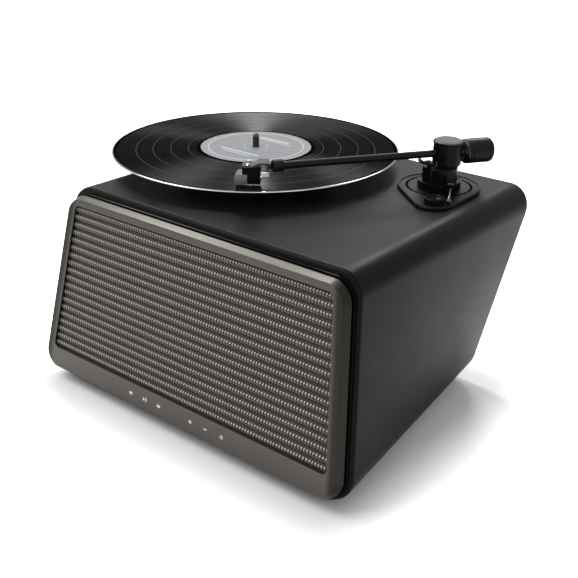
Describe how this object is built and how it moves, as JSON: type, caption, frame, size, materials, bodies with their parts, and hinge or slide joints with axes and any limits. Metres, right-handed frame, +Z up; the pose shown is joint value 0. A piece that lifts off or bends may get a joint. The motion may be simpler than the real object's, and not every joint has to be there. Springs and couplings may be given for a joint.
{
  "type": "record player with built-in speakers",
  "caption": "Belt-driven record player in a leather-wrapped wedge cabinet, with a straight balanced tonearm, a record on its platter and stereo speakers behind a ribbed front grille",
  "frame": {"origin": "middle of the bounding box's bottom, on the surface that the feet stand on", "axes": "+X to the right as the front is faced, +Y to the rear, +Z up"},
  "size_m": [0.433, 0.373, 0.2491],
  "materials": {
    "leather": "satin",
    "gunmetal": "brushed",
    "cloth": "woven",
    "gloss_black": "gloss",
    "satin_black": "satin",
    "arm_metal": "satin",
    "board": "matte",
    "rubber": "matte",
    "alloy": "cast",
    "steel": "bright",
    "silver": "satin",
    "vinyl": "gloss",
    "label": "matte",
    "circuit": "satin",
    "cone": "matte"
  },
  "bodies": {
    "cabinet": {"cabinet_shell": "leather", "front_frame": "gunmetal", "grille_cloth": "cloth", "trim_ring": "gloss_black", "arm_base_plate": "satin_black", "tower_housing": "satin_black", "lever_bracket": "satin_black", "arm_rest": "satin_black", "switch_housing": "satin_black", "aux_socket": "satin_black", "power_inlet": "satin_black", "tweeter_left": "satin_black", "tweeter_right": "satin_black", "woofer_left_basket": "arm_metal", "woofer_right_basket": "arm_metal", "connector_plate": "arm_metal", "front_baffle": "board", "rear_panel": "board", "foot_front_left": "rubber", "foot_front_right": "rubber", "foot_rear_left": "rubber", "foot_rear_right": "rubber", "drive_belt": "rubber", "bearing_housing": "steel", "motor": "steel", "deck_chassis": "steel", "rca_left_socket": "steel", "rca_right_socket": "steel", "touch_board": "circuit", "amplifier_board": "circuit"},
    "platter_group": {"platter": "alloy", "slip_mat": "rubber", "spindle": "steel", "record_disc": "vinyl", "record_label": "label"},
    "pulley": {"motor_pulley": "steel"},
    "arm_gimbal": {"gimbal_housing": "arm_metal", "gimbal_cap": "gunmetal", "swing_pivot": "steel", "tilt_axle": "steel"},
    "arm": {"tilt_block": "steel", "arm_tube": "arm_metal", "counterweight_stub": "steel", "headshell_collar": "satin_black", "headshell": "silver", "cartridge_screw_left": "steel", "cartridge_screw_right": "steel", "cartridge_body": "satin_black", "stylus_holder": "silver", "contact_pins": "silver", "cantilever": "steel"},
    "balance_weight": {"counterweight": "arm_metal"},
    "force_dial": {"tracking_dial": "gunmetal"},
    "skate_knob": {"anti_skate_knob": "satin_black"},
    "lever": {"cue_lever": "steel"},
    "lift": {"lift_bar": "satin_black"},
    "rocker": {"power_rocker": "gloss_black"},
    "cone_left": {"woofer_left_cone": "cone"},
    "cone_right": {"woofer_right_cone": "cone"}
  },
  "joints": [
    {"name": "platter_spin", "type": "hinge", "parent": "cabinet", "child": "platter_group", "pos_m": [-0.06601, 0.03605, 0.2101], "axis": [0, 0, 1], "continuous": true},
    {"name": "pulley_spin", "type": "hinge", "parent": "cabinet", "child": "pulley", "pos_m": [-0.04292, -0.02738, 0.205], "axis": [0, 0, 1], "continuous": true},
    {"name": "arm_swing", "type": "hinge", "parent": "cabinet", "child": "arm_gimbal", "pos_m": [0.13329, 0.08934, 0.2357], "axis": [0, 0, 1], "range_deg": [-21, 34]},
    {"name": "arm_tilt", "type": "hinge", "parent": "arm_gimbal", "child": "arm", "pos_m": [0.13329, 0.08934, 0.2357], "axis": [-0.829, 0.5592, 0], "range_deg": [0, 6]},
    {"name": "weight_slide", "type": "slide", "parent": "arm", "child": "balance_weight", "axis": [0.5592, 0.829, 0], "range_m": [0, 0.004]},
    {"name": "dial_turn", "type": "hinge", "parent": "balance_weight", "child": "force_dial", "pos_m": [0.14335, 0.10427, 0.2357], "axis": [0.5592, 0.829, 0], "range_deg": [-180, 180]},
    {"name": "anti_skate_turn", "type": "hinge", "parent": "cabinet", "child": "skate_knob", "pos_m": [0.15199, 0.03805, 0.204], "axis": [0, 0, 1], "range_deg": [0, 270]},
    {"name": "cue_turn", "type": "hinge", "parent": "cabinet", "child": "lever", "pos_m": [0.15109, 0.06945, 0.2119], "axis": [-0.887, -0.4617, 0], "range_deg": [0, 32]},
    {"name": "lift_rise", "type": "slide", "parent": "cabinet", "child": "lift", "axis": [0, 0, 1], "range_m": [0, 0.0017]},
    {"name": "power_switch", "type": "hinge", "parent": "cabinet", "child": "rocker", "pos_m": [-0.01291, 0.10547, 0.04731], "axis": [0, -0.2986, -0.9544], "range_deg": [0, 18]},
    {"name": "cone_left_travel", "type": "slide", "parent": "cabinet", "child": "cone_left", "axis": [0, -0.9831, 0.1831], "range_m": [-0.0015, 0.0015], "stiffness_N_per_m": 1200},
    {"name": "cone_right_travel", "type": "slide", "parent": "cabinet", "child": "cone_right", "axis": [0, -0.9831, 0.1831], "range_m": [-0.0015, 0.0015], "stiffness_N_per_m": 1200}
  ],
  "couplings": [
    {"joint": "pulley_spin", "follows": "platter_spin", "ratio": 8.3684},
    {"joint": "cue_turn", "follows": "lift_rise", "rad_per_m": 307.9}
  ]
}
